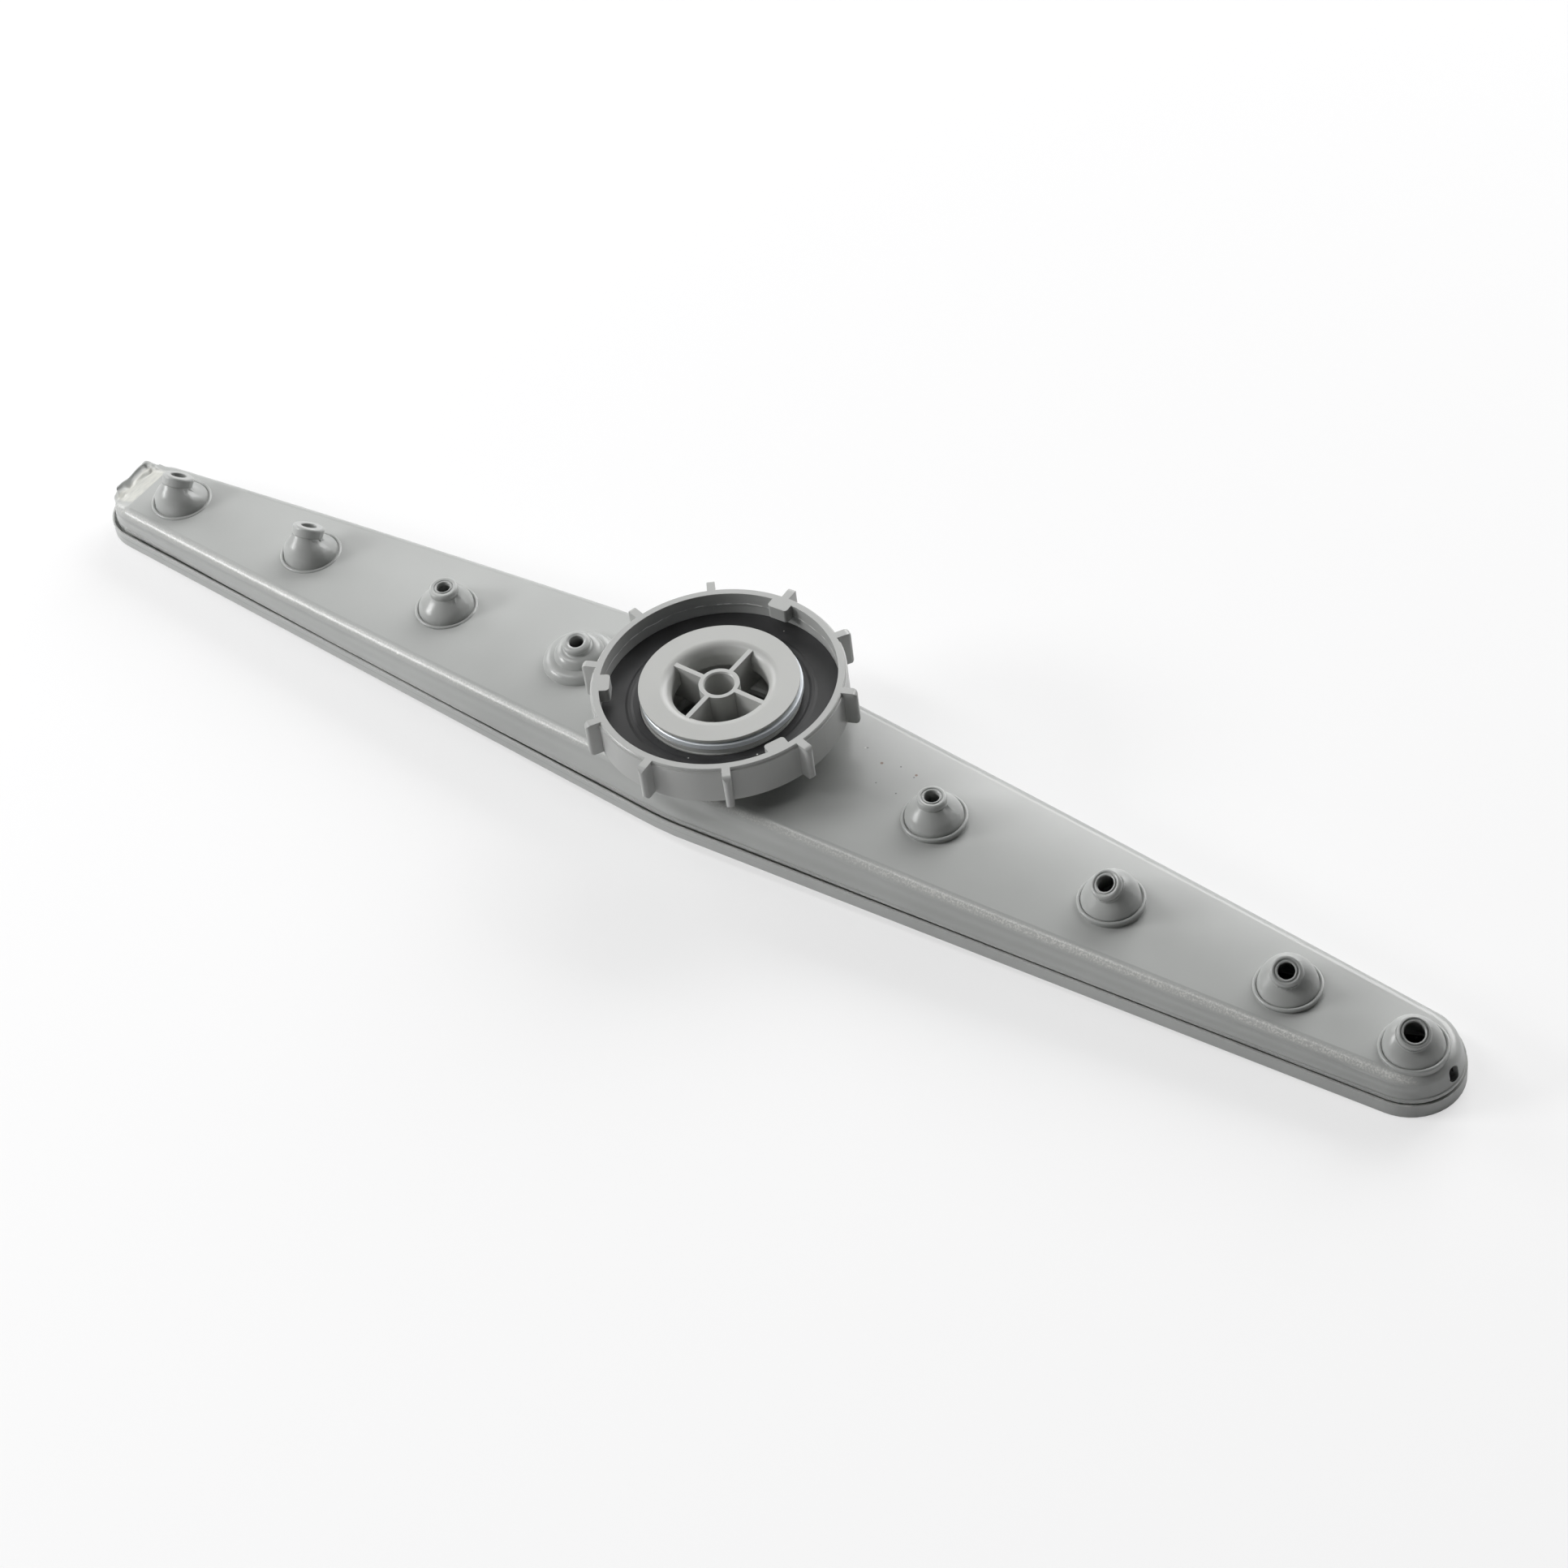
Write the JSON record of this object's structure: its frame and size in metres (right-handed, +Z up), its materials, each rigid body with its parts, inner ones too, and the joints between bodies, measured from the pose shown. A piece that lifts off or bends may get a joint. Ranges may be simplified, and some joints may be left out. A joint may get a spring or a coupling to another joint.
{
  "type": "dishwasher spray arm",
  "caption": "Tapered hollow spray arm with leaning bell nozzles on its top face, a spoked inlet hub and a ribbed bayonet ring that turns on the hub.",
  "frame": {"origin": "where the hub axis meets the surface the arm stands on", "axes": "+Z up along the hub axis, +X along the arm towards the end with the small end jet"},
  "size_m": [0.4579, 0.078, 0.0391],
  "materials": {
    "arm_top": "grey moulded plastic with a fine satin grain",
    "arm_bottom": "grey moulded plastic with a fine satin grain",
    "hub": "light grey moulded plastic, slightly worn",
    "ring": "grey moulded plastic with a fine satin grain",
    "gasket": "black rubber, dull",
    "slide_ring": "turned stainless steel"
  },
  "bodies": {
    "arm": {"upper_shell": "arm_top", "lower_shell": "arm_bottom", "inlet_hub": "hub"},
    "ring": {"locking_ring": "ring", "gasket": "gasket", "slide_ring": "slide_ring"}
  },
  "joints": [
    {"name": "ring_turn", "type": "hinge", "parent": "arm", "child": "ring", "pos_m": [0, 0, 0.033], "axis": [0, 0, 1], "continuous": true}
  ]
}
